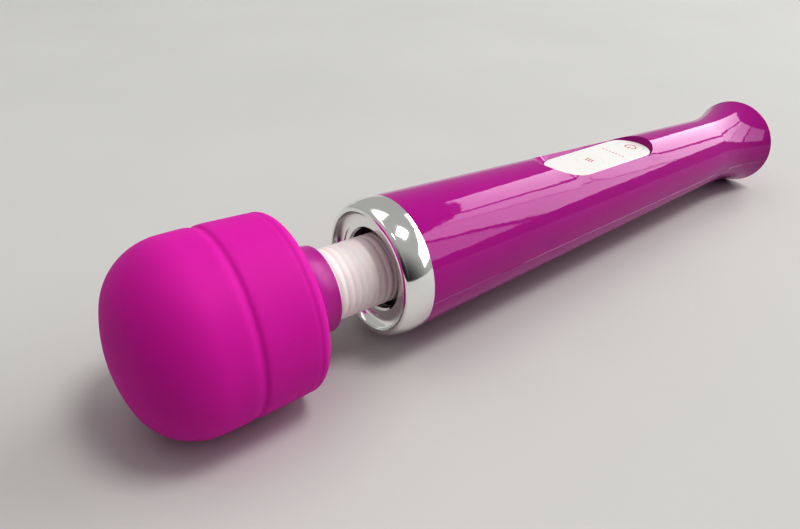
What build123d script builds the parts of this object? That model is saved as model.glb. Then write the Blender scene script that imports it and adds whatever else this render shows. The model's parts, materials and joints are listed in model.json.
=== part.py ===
"""Handheld wand massager: head, flexible neck and handle, with its drive, battery and controls."""

import os
from math import asin, cos, hypot, radians, sin, sqrt

from build123d import *

os.makedirs("parts", exist_ok=True)

# Driving dimensions, in millimetres. A station is a distance along the wand from the head's tip.
overall_length = 320.0
head_radius = 30.5
handle_radius = 24.27
waist_radius = 16.1
tail_radius = 20.7
neck_radius = 12.35
running_gap = 0.04
part_gap = 0.1

# Stations of the outside surfaces.
groove_station = 32.4
head_rear = 54.6
collar_rear = 67.0
ring_lip = 85.4
ring_face = 88.3
ring_rear = 96.2
waist_station = 287.0
tail_cap_front = 314.5
tail_rim_station = 317.8

# Head cover and core.
cover_wall = 3.0
dome_radius = 50.0
shoulder_radius = 20.5
groove_depth = 0.9
groove_half_width = 2.2
cover_rear_radius = 29.7
cover_edge_radius = 4.0
collar_front_radius = 20.8
collar_rear_radius = 14.7
core_wall = 2.2
core_split = 31.0
bearing_radius = 6.5
bearing_width = 4.0
head_shaft_radius = 2.0
front_bearing = 9.0
rear_bearing = 42.0
weight_front = 17.5
weight_length = 17.0
weight_radius = 18.5
hub_radius = 6.0
hub_wall = 2.0
core_screw_circle = 23.0
core_screw_radius = 1.3
core_screw_front = 20.0
screw_head_radius = 2.3
screw_head_height = 1.9
core_boss_radius = 2.6
core_boss_front = 18.0
seal_outer = 5.3
seal_inner = 3.3
seal_depth = 0.5
rear_wall = 49.0
grub_radius = 1.5
press_gap = 0.02
end_gap = 0.05

# Neck: sleeve, spring and plugs between the collar's socket and the neck mount's socket.
socket_radius = neck_radius + 0.2
front_socket = 57.6
rear_socket_end = 101.5
sleeve_bore = 9.75
rib_pitch = 2.6
rib_depth = 0.55
spring_radius = 8.6
spring_wire = 0.85
spring_pitch = 3.4
plug_flange_radius = 9.6
plug_radius = 7.4
plug_bore = 3.4
plug_flange = 1.4
plug_stub = 7.0
flexible_radius = 2.5
coupling_bore = flexible_radius + 0.05
web_bore = 5.6

# Chrome ring and neck mount.
throat_radius = 14.4
spigot_radius = 21.5
spigot_bore = 18.9
spigot_rear = 103.0
mount_front = 92.1
mount_rear = 104.0
ring_screw_circle = 15.8
ring_screw_radius = 1.0
screw_pilot_front = ring_face + 1.2
ring_screw_front = screw_pilot_front + 0.2
small_head_radius = 1.9

# Motor.
motor_front = 114.0
motor_rear = 148.0
motor_radius = 14.0
motor_wall = 1.0
motor_front_wall = 1.2
bush_flange = 1.4
bush_length = 3.6
magnet_inner = 10.9
brush_length = 3.0
terminal_front = 142.6
motor_shaft_radius = 1.6
bush_radius = 4.0
bush_wall = 1.0

# Handle shells. The seam lies a little under the wand's axis.
shell_wall = 2.4
seam_drop = 4.0
seam_bevel = 0.2
rim_radius = 2.2
tail_opening = 17.3
side_boss_station = 109.5
side_boss_offset = 13.0
front_boss_station = 156.5
rear_boss_station = 297.0
boss_floor = 2.0
shell_screw_radius = 1.1
shell_screw_head = 2.2
key_stem_hole = 3.2

# Controls. Heights are above the wand's axis.
panel_front = 175.9
panel_rear = 234.7
panel_width = 19.7
panel_top = 15.66
panel_thickness = 1.6
panel_gap = 0.3
pocket_floor = 14.0
floor_thickness = 1.8
lip_front = 166.8
lip_rear = 238.2
lip_width = 34.0
lip_height = 22.3
mode_station = 199.4
power_station = 227.5
key_radius = 5.6
key_gap = 0.07
board_front = 180.0
board_rear = 238.5
board_width = 20.0
board_bottom = 9.0
board_thickness = 1.6
switch_side = 6.0
switch_height = 1.5
plunger_radius = 1.7
plunger_top = 13.2
plunger_gap = 0.02
key_stem_radius = 2.4
board_screw_offset = 7.0
board_screw_radius = 1.05
chip_front = 188.5

# Battery: two 18650 cells in line, carried low in the handle.
cell_radius = 9.1
cell_length = 65.0
front_cell = 160.5
rear_cell = 227.0
cell_drop = 3.2
cradle_wall = 0.8
terminal_height = 1.0
cell_button_radius = 3.2

# Charging jack.
jack_front = 303.0
jack_floor = 304.4
jack_collar_front = 306.0
jack_collar_wall = 1.4
jack_radius = 5.2
jack_bore = 2.8
jack_pin_radius = 1.05
recess_radius = 4.1

axis_height = head_radius
tip_x = -overall_length / 2
wand_axis = Axis((0, 0, axis_height), (1, 0, 0))
profile = Plane(origin=(tip_x, 0, axis_height), x_dir=(1, 0, 0), z_dir=(0, -1, 0))


def across(station, side=0.0, height=0.0):
    """The plane across the wand at a station, with its x along +Y and its y along +Z."""
    centre = (tip_x + station, side, axis_height + height)
    return Plane(origin=centre, x_dir=(0, 1, 0), z_dir=(1, 0, 0))


def level(height, station=0.0, side=0.0):
    """The level plane at a height above the wand's axis, with its x along the wand."""
    return Plane(origin=(tip_x + station, side, axis_height + height), x_dir=(1, 0, 0), z_dir=(0, 0, 1))


def handle_radius_at(station):
    """The handle's straight taper, from the ring to the waist."""
    share = (station - ring_rear) / (waist_station - ring_rear)
    return handle_radius + (waist_radius - handle_radius) * share


def head_section(wall):
    """The head's outline, moved in by a wall, from its tip to its widest circle."""
    dome = dome_radius - wall
    shoulder = shoulder_radius - wall
    shoulder_height = head_radius - shoulder_radius
    shoulder_centre = dome_radius - sqrt((dome_radius - shoulder_radius) ** 2 - shoulder_height**2)
    reach = (dome_radius - shoulder_centre) / (dome_radius - shoulder_radius)
    rise = shoulder_height / (dome_radius - shoulder_radius)
    meeting = (dome_radius - dome * reach, dome * rise)
    half = dome * sin(0.5 * asin(rise))
    middle = (dome_radius - sqrt(dome**2 - half**2), half)
    top = (shoulder_centre, shoulder_height + shoulder)
    turn = 0.5 * (asin(rise) + radians(90))
    bulge = (shoulder_centre - shoulder * cos(turn), shoulder_height + shoulder * sin(turn))
    return (wall, 0), middle, meeting, bulge, top


def handle_section(wall):
    """The handle's half section, moved in by a wall: a straight taper, then the flared tail."""
    slope = (waist_radius - handle_radius) / (waist_station - ring_rear)
    run = tail_rim_station - waist_station
    rise = tail_radius - waist_radius - slope * run
    middle = (waist_station + run / 2, waist_radius + slope * run / 2 + rise / 4 - wall)
    return (waist_station, waist_radius - wall), middle, (tail_rim_station, tail_radius - wall)


# ---------------------------------------------------------------- head

tip, dome_middle, dome_end, shoulder_middle, shoulder_end = head_section(0)
core_tip, core_middle, core_end, core_bulge, core_top = head_section(cover_wall)
cavity_rear = head_rear - cover_wall
with BuildPart() as head_cover:
    with BuildSketch(profile):
        with BuildLine():
            ThreePointArc(tip, dome_middle, dome_end)
            ThreePointArc(dome_end, shoulder_middle, shoulder_end)
            groove_front = (groove_station - groove_half_width, head_radius - 0.1)
            groove_back = (groove_station + groove_half_width, head_radius - 0.2)
            Line(shoulder_end, groove_front)
            ThreePointArc(groove_front, (groove_station, head_radius - groove_depth), groove_back)
            edge_start = (head_rear - cover_edge_radius, cover_rear_radius)
            edge_end = (head_rear, cover_rear_radius - cover_edge_radius)
            bend = cover_edge_radius * (1 - cos(radians(45)))
            Line(groove_back, edge_start)
            ThreePointArc(edge_start, (head_rear - bend, cover_rear_radius - bend), edge_end)
            Polyline(
                edge_end,
                (head_rear, collar_front_radius + part_gap),
                (cavity_rear, collar_front_radius + part_gap),
                (cavity_rear, head_radius - cover_wall - 0.8),
                (core_split, head_radius - cover_wall),
                core_top,
            )
            ThreePointArc(core_top, core_bulge, core_end)
            ThreePointArc(core_end, core_middle, core_tip)
            Line(core_tip, tip)
        make_face()
    revolve(axis=wand_axis)
head_cover.part.label = "head_cover"
export_step(head_cover.part, "parts/head_cover.step")

shell_gap = cover_wall + part_gap
shell_tip, shell_middle, shell_end, shell_bulge, shell_top = head_section(shell_gap)
inner_tip, inner_middle, inner_end, inner_bulge, inner_top = head_section(shell_gap + core_wall)
core_radius = head_radius - shell_gap
core_bore = core_radius - core_wall
with BuildPart() as head_core_front:
    with BuildSketch(profile):
        with BuildLine():
            ThreePointArc(shell_tip, shell_middle, shell_end)
            ThreePointArc(shell_end, shell_bulge, shell_top)
            Polyline(
                shell_top,
                (core_split, core_radius),
                (core_split, core_bore),
                inner_top,
            )
            ThreePointArc(inner_top, inner_bulge, inner_end)
            ThreePointArc(inner_end, inner_middle, inner_tip)
            Line(inner_tip, shell_tip)
        make_face()
    revolve(axis=wand_axis)
    # The hub that holds the front bearing.
    with BuildSketch(across(inner_tip[0] - 0.5)):
        Circle(bearing_radius + hub_wall)
    extrude(amount=front_bearing + bearing_width - inner_tip[0] + 0.5)
    with BuildSketch(across(front_bearing)):
        Circle(bearing_radius)
    extrude(amount=bearing_width, mode=Mode.SUBTRACT)
    with BuildSketch(across(front_bearing - 1.5)):
        Circle(head_shaft_radius + 1.0)
    extrude(amount=1.5, mode=Mode.SUBTRACT)
    # Three bosses that take the core screws.
    with BuildSketch(across(core_boss_front)):
        with PolarLocations(core_screw_circle, 3):
            Circle(core_boss_radius)
    extrude(amount=core_split - core_boss_front)
    with BuildSketch(across(core_screw_front - 1.0)):
        with PolarLocations(core_screw_circle, 3):
            Circle(core_screw_radius + end_gap)
    extrude(amount=core_split - core_screw_front + 1.0, mode=Mode.SUBTRACT)
head_core_front.part.label = "head_core_front"
export_step(head_core_front.part, "parts/head_core_front.step")

core_rear = cavity_rear - part_gap
counterbore_depth = 2.2
with BuildPart() as head_collar:
    with BuildSketch(profile):
        with BuildLine():
            Polyline(
                (core_split, core_bore),
                (core_split, core_radius),
                (core_rear, core_radius - 0.8),
                (core_rear, collar_front_radius),
                (head_rear + 0.6, collar_front_radius),
            )
            collar_start = (head_rear + 0.6, collar_front_radius)
            collar_waist = (61.0, 16.0)
            collar_end = (collar_rear - 0.9, collar_rear_radius)
            ThreePointArc(collar_start, collar_waist, collar_end)
            lip_inner = (collar_rear, collar_rear_radius - 0.9)
            ThreePointArc(collar_end, (collar_rear - 0.26, collar_rear_radius - 0.26), lip_inner)
            Polyline(
                lip_inner,
                (collar_rear, socket_radius),
                (front_socket, socket_radius),
                (front_socket, web_bore),
                (rear_bearing + bearing_width, web_bore),
                (rear_bearing + bearing_width, bearing_radius),
                (rear_bearing, bearing_radius),
                (rear_bearing, bearing_radius + hub_wall),
                (rear_wall, bearing_radius + hub_wall),
                (rear_wall, core_bore),
                (core_split, core_bore),
            )
        make_face()
    revolve(axis=wand_axis)
    with BuildSketch(across(core_split)):
        with PolarLocations(core_screw_circle, 3):
            Circle(core_boss_radius)
    extrude(amount=rear_wall - core_split)
    with BuildSketch(across(core_split)):
        with PolarLocations(core_screw_circle, 3):
            Circle(core_screw_radius + 0.15)
    extrude(amount=core_rear - core_split, mode=Mode.SUBTRACT)
    with BuildSketch(across(core_rear - counterbore_depth)):
        with PolarLocations(core_screw_circle, 3):
            Circle(screw_head_radius + 0.2)
    extrude(amount=counterbore_depth, mode=Mode.SUBTRACT)
head_collar.part.label = "head_collar"
export_step(head_collar.part, "parts/head_collar.step")

screw_head_front = core_rear - counterbore_depth + 0.1
with BuildPart() as head_core_screws:
    with BuildSketch(across(core_screw_front)):
        with PolarLocations(core_screw_circle, 3):
            Circle(core_screw_radius)
    extrude(amount=screw_head_front - core_screw_front)
    with BuildSketch(across(screw_head_front)):
        with PolarLocations(core_screw_circle, 3):
            Circle(screw_head_radius)
    extrude(amount=screw_head_height)
head_core_screws.part.label = "head_core_screws"
export_step(head_core_screws.part, "parts/head_core_screws.step")

# Each bearing's seal is a groove in the face that looks into the head's cavity.
front_seal = front_bearing + bearing_width - end_gap - seal_depth
bearings = {
    "head_front_bearing": (front_bearing, front_seal),
    "head_rear_bearing": (rear_bearing, rear_bearing),
}
for name, (bearing_station, seal_station) in bearings.items():
    with BuildPart() as head_bearing:
        with BuildSketch(across(bearing_station)):
            Circle(bearing_radius - 0.01)
            Circle(head_shaft_radius + running_gap, mode=Mode.SUBTRACT)
        extrude(amount=bearing_width - end_gap)
        with BuildSketch(across(seal_station)):
            Circle(seal_outer)
            Circle(seal_inner, mode=Mode.SUBTRACT)
        extrude(amount=seal_depth, mode=Mode.SUBTRACT)
    head_bearing.part.label = name
    export_step(head_bearing.part, f"parts/{name}.step")

head_shaft_end = 52.4
with BuildPart() as head_shaft:
    with BuildSketch(across(front_bearing - 0.5)):
        Circle(head_shaft_radius)
    extrude(amount=head_shaft_end - front_bearing + 0.5)
    # The flat that the weight's grub screw bears on.
    with BuildSketch(level(head_shaft_radius - 0.4, weight_front + weight_length / 2)):
        Rectangle(weight_length, 2 * head_shaft_radius)
    extrude(amount=head_shaft_radius, mode=Mode.SUBTRACT)
head_shaft.part.label = "head_shaft"
export_step(head_shaft.part, "parts/head_shaft.step")

screw_station = weight_front + weight_length / 2
with BuildPart() as eccentric_weight:
    with BuildSketch(across(weight_front)):
        Circle(weight_radius)
        with Locations((0, weight_radius)):
            Rectangle(2 * weight_radius, 2 * weight_radius, mode=Mode.SUBTRACT)
        Circle(hub_radius)
        Circle(head_shaft_radius + press_gap, mode=Mode.SUBTRACT)
    extrude(amount=weight_length)
    with BuildSketch(level(0, screw_station)):
        Circle(grub_radius + end_gap)
    extrude(amount=hub_radius, mode=Mode.SUBTRACT)
eccentric_weight.part.label = "eccentric_weight"
export_step(eccentric_weight.part, "parts/eccentric_weight.step")

with BuildPart() as weight_grub_screw:
    with BuildSketch(level(head_shaft_radius - 0.38, screw_station)):
        Circle(grub_radius)
    extrude(amount=hub_radius - head_shaft_radius + 0.2)
    with BuildSketch(level(hub_radius - 1.2, screw_station)):
        RegularPolygon(0.85, 6)
    extrude(amount=1.2, mode=Mode.SUBTRACT)
weight_grub_screw.part.label = "weight_grub_screw"
export_step(weight_grub_screw.part, "parts/weight_grub_screw.step")

head_coupling_front = 48.5
head_coupling_rear = 56.5
with BuildPart() as head_coupling:
    with BuildSketch(across(head_coupling_front)):
        Circle(4.5)
    extrude(amount=head_coupling_rear - head_coupling_front)
    with BuildSketch(across(head_coupling_front)):
        Circle(head_shaft_radius + press_gap)
    extrude(amount=head_shaft_end + 0.1 - head_coupling_front, mode=Mode.SUBTRACT)
    with BuildSketch(across(head_shaft_end + 0.1)):
        Circle(coupling_bore)
    extrude(amount=head_coupling_rear - head_shaft_end - 0.1, mode=Mode.SUBTRACT)
head_coupling.part.label = "head_coupling"
export_step(head_coupling.part, "parts/head_coupling.step")

# ---------------------------------------------------------------- neck

# Each plug is a flange against its socket's floor and a stub that the spring's end grips.
plugs = {
    "neck_front_plug": (front_socket + end_gap, front_socket + plug_flange),
    "neck_rear_plug": (rear_socket_end - end_gap - plug_flange, rear_socket_end - plug_flange - plug_stub),
}
for name, (flange_station, stub_station) in plugs.items():
    with BuildPart() as neck_plug:
        with BuildSketch(across(flange_station)):
            Circle(plug_flange_radius)
            Circle(plug_bore, mode=Mode.SUBTRACT)
        extrude(amount=plug_flange)
        with BuildSketch(across(stub_station)):
            Circle(plug_radius)
            Circle(plug_bore, mode=Mode.SUBTRACT)
        extrude(amount=plug_stub)
    neck_plug.part.label = name
    export_step(neck_plug.part, f"parts/{name}.step")

sleeve_front = front_socket + 0.2
sleeve_rear = rear_socket_end - 0.2
rib_count = int((sleeve_rear - sleeve_front) / rib_pitch)
with BuildPart() as neck_sleeve:
    with BuildSketch(profile):
        with BuildLine():
            valley = neck_radius - rib_depth
            for rib in range(rib_count):
                start = sleeve_front + rib * rib_pitch
                crest = (start + rib_pitch / 2, neck_radius)
                ThreePointArc((start, valley), crest, (start + rib_pitch, valley))
            last = sleeve_front + rib_count * rib_pitch
            Polyline(
                (last, valley),
                (last, sleeve_bore),
                (sleeve_front, sleeve_bore),
                (sleeve_front, valley),
            )
        make_face()
    revolve(axis=wand_axis)
neck_sleeve.part.label = "neck_sleeve"
export_step(neck_sleeve.part, "parts/neck_sleeve.step")

spring_front = front_socket + plug_flange + spring_wire + 0.2
spring_length = rear_socket_end - plug_flange - spring_wire - 0.2 - spring_front
spring_start = (tip_x + spring_front, 0, axis_height)
with BuildPart() as neck_spring:
    with BuildLine() as coil:
        Helix(spring_pitch, spring_length, spring_radius, center=spring_start, direction=(1, 0, 0))
    with BuildSketch(Plane(origin=coil.line @ 0, z_dir=coil.line % 0)):
        Circle(spring_wire)
    sweep(path=coil.line, is_frenet=True)
neck_spring.part.label = "neck_spring"
export_step(neck_spring.part, "parts/neck_spring.step")

flexible_front = head_shaft_end + 0.2
flexible_rear = 107.4
with BuildPart() as flexible_shaft:
    with BuildSketch(across(flexible_front)):
        Circle(flexible_radius)
    extrude(amount=flexible_rear - flexible_front)
flexible_shaft.part.label = "flexible_shaft"
export_step(flexible_shaft.part, "parts/flexible_shaft.step")

# ---------------------------------------------------------------- front of the handle

with BuildPart() as chrome_ring:
    with BuildSketch(profile):
        with BuildLine():
            bore_edge = (ring_face + 0.7, throat_radius)
            dish_start = (ring_face, 17.2)
            lip_inner = (ring_lip + 0.1, 21.2)
            lip_outer = (ring_lip + 1.6, handle_radius - 0.8)
            band_rear = (ring_rear, handle_radius)
            bore_chamfer = (ring_face, throat_radius + 0.7)
            Polyline((mount_front - part_gap, throat_radius), bore_edge, bore_chamfer, dish_start)
            ThreePointArc(dish_start, (ring_face - 0.6, 19.8), lip_inner)
            ThreePointArc(lip_inner, (ring_lip + 0.3, 22.6), lip_outer)
            ThreePointArc(lip_outer, (90.6, handle_radius + 0.05), band_rear)
            Polyline(
                band_rear,
                (ring_rear, spigot_radius),
                (spigot_rear, spigot_radius),
                (spigot_rear, spigot_bore),
                (mount_front - part_gap, spigot_bore),
                (mount_front - part_gap, throat_radius),
            )
        make_face()
    revolve(axis=wand_axis)
    with BuildSketch(across(screw_pilot_front)):
        with PolarLocations(ring_screw_circle, 3, start_angle=90):
            Circle(ring_screw_radius + end_gap)
    extrude(amount=mount_front - part_gap - screw_pilot_front, mode=Mode.SUBTRACT)
chrome_ring.part.label = "chrome_ring"
export_step(chrome_ring.part, "parts/chrome_ring.step")

socket_start = 93.6
with BuildPart() as neck_mount:
    with BuildSketch(across(mount_front)):
        Circle(spigot_bore - part_gap)
    extrude(amount=mount_rear - mount_front)
    with BuildSketch(across(mount_front)):
        Circle(throat_radius)
    extrude(amount=socket_start - mount_front, mode=Mode.SUBTRACT)
    with BuildSketch(across(socket_start)):
        Circle(socket_radius)
    extrude(amount=rear_socket_end - socket_start, mode=Mode.SUBTRACT)
    with BuildSketch(across(rear_socket_end)):
        Circle(web_bore)
    extrude(amount=mount_rear - rear_socket_end, mode=Mode.SUBTRACT)
    with BuildSketch(across(mount_front)):
        with PolarLocations(ring_screw_circle, 3, start_angle=90):
            Circle(ring_screw_radius + 0.15)
    extrude(amount=mount_rear - mount_front, mode=Mode.SUBTRACT)
neck_mount.part.label = "neck_mount"
export_step(neck_mount.part, "parts/neck_mount.step")

with BuildPart() as ring_screws:
    with BuildSketch(across(ring_screw_front)):
        with PolarLocations(ring_screw_circle, 3, start_angle=90):
            Circle(ring_screw_radius)
    extrude(amount=mount_rear + end_gap - ring_screw_front)
    with BuildSketch(across(mount_rear + end_gap)):
        with PolarLocations(ring_screw_circle, 3, start_angle=90):
            Circle(small_head_radius)
    extrude(amount=1.5)
ring_screws.part.label = "ring_screws"
export_step(ring_screws.part, "parts/ring_screws.step")

shaft_coupling_front = 102.5
shaft_coupling_rear = 111.0
motor_shaft_front = 107.7
with BuildPart() as shaft_coupling:
    with BuildSketch(across(shaft_coupling_front)):
        Circle(5.0)
    extrude(amount=shaft_coupling_rear - shaft_coupling_front)
    with BuildSketch(across(shaft_coupling_front)):
        Circle(coupling_bore)
    extrude(amount=motor_shaft_front - 0.1 - shaft_coupling_front, mode=Mode.SUBTRACT)
    with BuildSketch(across(motor_shaft_front - 0.1)):
        Circle(motor_shaft_radius + press_gap)
    extrude(amount=shaft_coupling_rear - motor_shaft_front + 0.1, mode=Mode.SUBTRACT)
shaft_coupling.part.label = "shaft_coupling"
export_step(shaft_coupling.part, "parts/shaft_coupling.step")

# ---------------------------------------------------------------- motor

with BuildPart() as motor_can:
    with BuildSketch(across(motor_front)):
        Circle(motor_radius)
    extrude(amount=motor_rear - motor_front)
    with BuildSketch(across(motor_front + motor_front_wall)):
        Circle(motor_radius - motor_wall)
    extrude(amount=motor_rear - motor_front - motor_front_wall, mode=Mode.SUBTRACT)
    with BuildSketch(across(motor_front - bush_flange)):
        Circle(bush_radius + bush_wall)
    extrude(amount=bush_flange)
    with BuildSketch(across(motor_front - bush_flange)):
        Circle(bush_radius + press_gap)
    extrude(amount=bush_flange + motor_front_wall, mode=Mode.SUBTRACT)
motor_can.part.label = "motor_can"
export_step(motor_can.part, "parts/motor_can.step")

magnet_front = 118.0
magnet_length = 23.0
with BuildPart() as motor_magnets:
    with BuildSketch(across(magnet_front)):
        Circle(motor_radius - motor_wall - 0.05)
        Circle(magnet_inner, mode=Mode.SUBTRACT)
        Rectangle(9.0, 2 * motor_radius, mode=Mode.SUBTRACT)
    extrude(amount=magnet_length)
motor_magnets.part.label = "motor_magnets"
export_step(motor_magnets.part, "parts/motor_magnets.step")

armature_front = 120.0
armature_length = 18.0
winding_overhang = 3.0
armature_radius = 10.3
with BuildPart() as motor_armature:
    with BuildSketch(across(armature_front)):
        Circle(armature_radius)
        with PolarLocations(7.0, 5):
            Rectangle(8.0, 1.6, mode=Mode.SUBTRACT)
    extrude(amount=armature_length)
    with BuildSketch(across(armature_front - winding_overhang)):
        Circle(8.6)
    extrude(amount=armature_length + 2 * winding_overhang)
    with BuildSketch(across(armature_front - winding_overhang)):
        Circle(motor_shaft_radius + press_gap)
    extrude(amount=armature_length + 2 * winding_overhang, mode=Mode.SUBTRACT)
motor_armature.part.label = "motor_armature"
export_step(motor_armature.part, "parts/motor_armature.step")

commutator_front = 141.8
commutator_radius = 4.2
with BuildPart() as motor_commutator:
    with BuildSketch(across(commutator_front)):
        Circle(commutator_radius)
        Circle(motor_shaft_radius + press_gap, mode=Mode.SUBTRACT)
        with PolarLocations(commutator_radius, 5):
            Rectangle(1.2, 0.4, mode=Mode.SUBTRACT)
    extrude(amount=3.8)
motor_commutator.part.label = "motor_commutator"
export_step(motor_commutator.part, "parts/motor_commutator.step")

motor_shaft_rear = 152.5
with BuildPart() as motor_shaft:
    with BuildSketch(across(motor_shaft_front)):
        Circle(motor_shaft_radius)
    extrude(amount=motor_shaft_rear - motor_shaft_front)
motor_shaft.part.label = "motor_shaft"
export_step(motor_shaft.part, "parts/motor_shaft.step")

with BuildPart() as motor_front_bush:
    with BuildSketch(across(motor_front - bush_flange)):
        Circle(bush_radius)
        Circle(motor_shaft_radius + running_gap, mode=Mode.SUBTRACT)
    extrude(amount=bush_length)
motor_front_bush.part.label = "motor_front_bush"
export_step(motor_front_bush.part, "parts/motor_front_bush.step")

end_cap_length = 3.0
brush_inner = commutator_radius + 0.06
brush_middle = brush_inner + brush_length / 2
terminal_offset = brush_inner + 3.4
with BuildPart() as motor_end_cap:
    with BuildSketch(across(motor_rear)):
        Circle(motor_radius)
    extrude(amount=end_cap_length)
    with BuildSketch(across(motor_rear + end_cap_length)):
        Circle(bush_radius + bush_wall)
    extrude(amount=0.8)
    with BuildSketch(across(motor_rear)):
        Circle(bush_radius + press_gap)
    extrude(amount=end_cap_length + 0.8, mode=Mode.SUBTRACT)
    # Slots that the two terminals pass through.
    with BuildSketch(across(motor_rear)):
        with Locations((terminal_offset, 0), (-terminal_offset, 0)):
            Rectangle(1.0, 3.4)
    extrude(amount=end_cap_length, mode=Mode.SUBTRACT)
motor_end_cap.part.label = "motor_end_cap"
export_step(motor_end_cap.part, "parts/motor_end_cap.step")

with BuildPart() as motor_rear_bush:
    with BuildSketch(across(motor_rear + 0.2)):
        Circle(bush_radius)
        Circle(motor_shaft_radius + running_gap, mode=Mode.SUBTRACT)
    extrude(amount=bush_length)
motor_rear_bush.part.label = "motor_rear_bush"
export_step(motor_rear_bush.part, "parts/motor_rear_bush.step")

with BuildPart() as motor_brushes:
    with BuildSketch(across(terminal_front - 0.2)):
        with Locations((brush_middle, 0), (-brush_middle, 0)):
            Rectangle(brush_length, 2.4)
    extrude(amount=2.6)
motor_brushes.part.label = "motor_brushes"
export_step(motor_brushes.part, "parts/motor_brushes.step")

with BuildPart() as motor_terminals:
    with BuildSketch(across(terminal_front)):
        with Locations((terminal_offset, 0), (-terminal_offset, 0)):
            Rectangle(0.7, 3.0)
    extrude(amount=motor_rear + end_cap_length + 3.0 - terminal_front)
motor_terminals.part.label = "motor_terminals"
export_step(motor_terminals.part, "parts/motor_terminals.step")

mount_width = 4.0
for name, station in (("motor_front_mount", 117.0), ("motor_rear_mount", 139.0)):
    mount_outer = handle_radius_at(station + mount_width) - shell_wall - 0.25
    with BuildPart() as motor_mount:
        with BuildSketch(across(station)):
            Circle(mount_outer)
            with PolarLocations(mount_outer, 12):
                Circle(1.6, mode=Mode.SUBTRACT)
            Circle(motor_radius + end_gap, mode=Mode.SUBTRACT)
        extrude(amount=mount_width)
    motor_mount.part.label = name
    export_step(motor_mount.part, f"parts/{name}.step")

# ---------------------------------------------------------------- handle shells


def handle_solid():
    """The whole handle as one solid of revolution, with a rounded tail rim."""
    flare_start, flare_middle, flare_end = handle_section(0)
    with BuildPart() as solid:
        with BuildSketch(profile):
            with BuildLine():
                Line((ring_rear, 0), (ring_rear, handle_radius))
                Line((ring_rear, handle_radius), flare_start)
                ThreePointArc(flare_start, flare_middle, flare_end)
                rim_bend = rim_radius * (1 - cos(radians(45)))
                rim_end = (overall_length, tail_radius - rim_radius)
                rim_middle = (overall_length - rim_bend, tail_radius - rim_bend)
                ThreePointArc(flare_end, rim_middle, rim_end)
                Polyline(rim_end, (overall_length, 0), (ring_rear, 0))
            make_face()
        revolve(axis=wand_axis)
    return solid.part


def handle_cavity():
    """The hollow inside the handle, with the step that the tail cap sits against."""
    cavity_start, cavity_middle, _ = handle_section(shell_wall)
    step_radius = tail_opening - 0.9
    step = (tail_cap_front - 0.1, step_radius)
    with BuildPart() as hollow:
        with BuildSketch(profile):
            with BuildLine():
                Line((ring_rear, 0), (ring_rear, handle_radius - shell_wall))
                Line((ring_rear, handle_radius - shell_wall), cavity_start)
                ThreePointArc(cavity_start, cavity_middle, step)
                Polyline(
                    step,
                    (tail_cap_front - 0.1, tail_opening),
                    (overall_length, tail_opening),
                    (overall_length, 0),
                    (ring_rear, 0),
                )
            make_face()
        revolve(axis=wand_axis)
    return hollow.part


def seam_edges(shell):
    """The long outer edges of a shell along the seam."""
    seam_level = axis_height - seam_drop
    flat = shell.edges().filter_by_position(Axis.Z, seam_level - 0.01, seam_level + 0.01)
    outside = ShapeList()
    for edge in flat.filter_by(lambda candidate: candidate.length > overall_length / 12):
        front_end = min(edge @ 0, edge @ 1, key=lambda point: point.X)
        radius = hypot(front_end.Y, front_end.Z - axis_height)
        if radius > handle_radius_at(front_end.X - tip_x) - shell_wall / 2:
            outside.append(edge)
    return outside


boss_places = [
    (side_boss_station, side_boss_offset, 2.1),
    (side_boss_station, -side_boss_offset, 2.1),
    (front_boss_station, 0, 2.5),
    (rear_boss_station, 0, 2.5),
]
whole_handle = handle_solid()
hollow_handle = handle_cavity()
panel_middle = (panel_front + panel_rear) / 2
panel_length = panel_rear - panel_front

with BuildPart() as upper_shell:
    add(whole_handle)
    add(hollow_handle, mode=Mode.SUBTRACT)
    # Screw bosses, and the pad that the pocket is sunk into.
    for station, side, radius in boss_places:
        with BuildSketch(level(-seam_drop, station, side)):
            Circle(radius)
        extrude(amount=sqrt((handle_radius_at(station) - 1.0) ** 2 - side**2) + seam_drop)
    with BuildSketch(level(pocket_floor - floor_thickness, panel_middle)):
        SlotOverall(panel_length + 5.0, panel_width + 4.4)
    extrude(amount=panel_top - pocket_floor + floor_thickness + 6.0)
    add(whole_handle, mode=Mode.INTERSECT)
    split(bisect_by=level(-seam_drop), keep=Keep.TOP)
    for station, side, radius in boss_places:
        with BuildSketch(level(-seam_drop, station, side)):
            Circle(shell_screw_radius + end_gap)
        extrude(amount=9.0, mode=Mode.SUBTRACT)
    # The pocket: a straight recess that holds the panel, then walls that slope out to the lip.
    with BuildSketch(level(pocket_floor, panel_middle)):
        SlotOverall(panel_length + 2 * panel_gap, panel_width + 2 * panel_gap)
    extrude(amount=panel_top - pocket_floor, mode=Mode.SUBTRACT)
    with BuildSketch(level(panel_top - 0.2, panel_middle)):
        SlotOverall(panel_length + 2 * panel_gap, panel_width + 2 * panel_gap)
    with BuildSketch(level(lip_height, (lip_front + lip_rear) / 2)):
        SlotOverall(lip_rear - lip_front, lip_width)
    loft(mode=Mode.SUBTRACT)
    for station in (mode_station, power_station):
        with BuildSketch(level(pocket_floor - floor_thickness, station)):
            Circle(key_stem_hole)
        extrude(amount=floor_thickness, mode=Mode.SUBTRACT)
    chamfer(seam_edges(upper_shell), seam_bevel)
upper_shell.part.label = "upper_shell"
export_step(upper_shell.part, "parts/upper_shell.step")

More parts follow.
